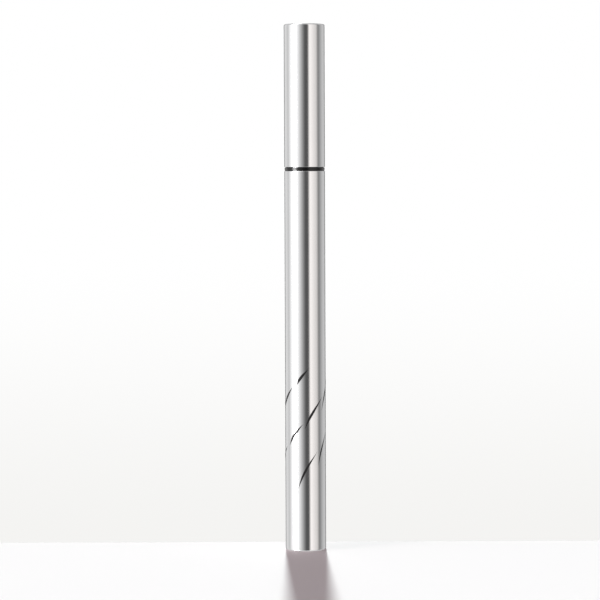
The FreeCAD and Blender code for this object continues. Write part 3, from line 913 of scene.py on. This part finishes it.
class PEN_OT_stage(bpy.types.Operator):
    """Set up the floor, the light panels, the lamp behind the pen and the camera"""

    bl_idname = "pen.stage"
    bl_label = "Studio"

    def room(self, graph, settings):
        """Light of the studio by direction: panels and gaps round the pen, ceiling and floor."""
        x, y, z = graph.parts(graph.way())
        turn = graph.maths("ARCTAN2", x, -1.0 * y) * math.degrees(1.0)
        round_back = abs(turn)
        shown = graph.node("ShaderNodeLightPath", out="Is Glossy Ray")
        level = settings.front + (settings.back - settings.front) * round_back.between(*settings.back_edge)
        level = level + settings.left * turn.between(*settings.left_edge)
        gaps = 1.0 - settings.gap_depth * round_back.within(settings.gap_sector)
        strip = settings.strip * round_back.between(*settings.strip_edge)
        key = (settings.key + settings.key_shine * shown) * turn.within(settings.key_sector)
        start, full, still, end = settings.spill_sector
        spill = turn.between(end, still, "LINEAR") ** settings.spill_curve * turn.between(start, full)
        fade = 1.0 - settings.fill_loss * turn.between(*settings.fill_fade, "LINEAR")
        fill = settings.fill * fade * turn.within(settings.fill_sector)
        upper = settings.upper + settings.upper_shine * shown
        walls = (upper + (1.0 - upper) * z.between(*settings.wall_top)) * z.between(*settings.wall_foot)
        ceiling = (settings.dome + settings.shine * shown) * z.between(*settings.dome_edge)
        floor = settings.glow * z.between(*settings.glow_edge)
        plain = (level * gaps + strip + key + settings.spill * spill) * walls + ceiling + floor
        white = graph.tinted(plain, (1.0, 1.0, 1.0))
        warm = graph.tinted(fill * walls, settings.fill_tint)
        return graph.node("ShaderNodeBackground", sockets={"Color": graph.summed(white, warm)})

    def backdrop(self, graph, settings):
        """What the camera sees behind the pen: white, a little greyer towards the floor."""
        height = graph.parts(graph.way())[2]
        pale = graph.mixed(height.between(*settings.haze_edge), settings.haze, (1.0, 1.0, 1.0))
        return graph.node("ShaderNodeBackground", sockets={"Color": pale})

    def add_world(self, settings):
        world = bpy.data.worlds.new("studio")
        graph = Graph(world)
        seen = graph.node("ShaderNodeLightPath", out="Is Camera Ray")
        sockets = {0: seen, 1: self.room(graph, settings), 2: self.backdrop(graph, settings)}
        graph.finish(graph.node("ShaderNodeMixShader", sockets=sockets))
        bpy.context.scene.world = world

    def add_floor(self, settings):
        """Pale floor that ends a little behind the pen, as a table does."""
        size = (settings.floor_width, settings.floor_depth, 1.0)
        middle = (0.0, settings.floor_end - settings.floor_depth / 2, 0.0)
        shape = bmesh.new()
        bmesh.ops.create_grid(shape, x_segments=8, y_segments=4, size=0.5)
        bmesh.ops.scale(shape, vec=size, verts=shape.verts)
        bmesh.ops.translate(shape, vec=middle, verts=shape.verts)
        mesh = bpy.data.meshes.new("floor")
        shape.to_mesh(mesh)
        shape.free()
        mesh.materials.append(pale_floor(settings))
        floor = bpy.data.objects.new("floor", mesh)
        floor.visible_glossy = False
        bpy.context.scene.collection.objects.link(floor)

    def add_lamp(self, settings):
        """Lamp behind the pen and above it, which throws the shadow towards the camera."""
        data = bpy.data.lights.new("back_lamp", "SUN")
        data.energy = settings.sun
        data.color = settings.sun_tint
        data.angle = settings.sun_size
        lamp = bpy.data.objects.new("back_lamp", data)
        lamp.rotation_euler = (settings.sun_height - math.pi / 2, 0.0, settings.sun_aside)
        lamp.visible_glossy = False
        bpy.context.scene.collection.objects.link(lamp)

    def add_camera(self, settings):
        data = bpy.data.cameras.new("camera")
        data.lens = settings.lens
        camera = bpy.data.objects.new("camera", data)
        place = Matrix.Translation((-settings.aside, -settings.distance, settings.height))
        tilt = Matrix.Rotation(math.pi / 2 - settings.pitch, 4, "X")
        roll = Matrix.Rotation(settings.roll, 4, "Z")
        camera.matrix_world = place @ (tilt @ roll)
        bpy.context.scene.collection.objects.link(camera)
        bpy.context.scene.camera = camera

    def execute(self, context):
        settings = context.scene.pen_studio
        self.add_world(settings)
        self.add_floor(settings)
        self.add_lamp(settings)
        self.add_camera(settings)
        context.scene.view_settings.view_transform = "Standard"
        return {"FINISHED"}


OPERATORS = (
    PEN_OT_sleeves, PEN_OT_print, PEN_OT_nose, PEN_OT_nib, PEN_OT_cap_inside, PEN_OT_spring, PEN_OT_seals,
    PEN_OT_feed, PEN_OT_stage,
)
GROUPS = {
    "pen_sizes": PenSizes,
    "pen_print": PrintSizes,
    "pen_finishes": PenFinishes,
    "pen_studio": StudioSettings,
}


class PEN_PT_panel(bpy.types.Panel):
    """Lists the pen's pieces and settings"""

    bl_idname = "PEN_PT_panel"
    bl_label = "Eyeliner pen"
    bl_space_type = "VIEW_3D"
    bl_region_type = "UI"
    bl_category = "Pen"

    def draw(self, context):
        layout = self.layout
        for operator in OPERATORS:
            layout.operator(operator.bl_idname)
        for group in GROUPS:
            settings = getattr(context.scene, group)
            column = layout.column()
            for name in settings.bl_rna.properties.keys():
                if name not in ("rna_type", "name"):
                    column.prop(settings, name)


CLASSES = (*GROUPS.values(), *OPERATORS, PEN_PT_panel)


def register():
    for cls in CLASSES:
        bpy.utils.register_class(cls)
    for name, cls in GROUPS.items():
        setattr(bpy.types.Scene, name, bpy.props.PointerProperty(type=cls))


def unregister():
    for name in GROUPS:
        delattr(bpy.types.Scene, name)
    for cls in reversed(CLASSES):
        bpy.utils.unregister_class(cls)


def main():
    register()
    bpy.ops.pen.sleeves()
    bpy.ops.pen.print()
    bpy.ops.pen.nose()
    bpy.ops.pen.nib()
    bpy.ops.pen.cap_inside()
    bpy.ops.pen.spring()
    bpy.ops.pen.seals()
    bpy.ops.pen.feed()
    bpy.ops.pen.stage()


if __name__ == "__main__":
    main()
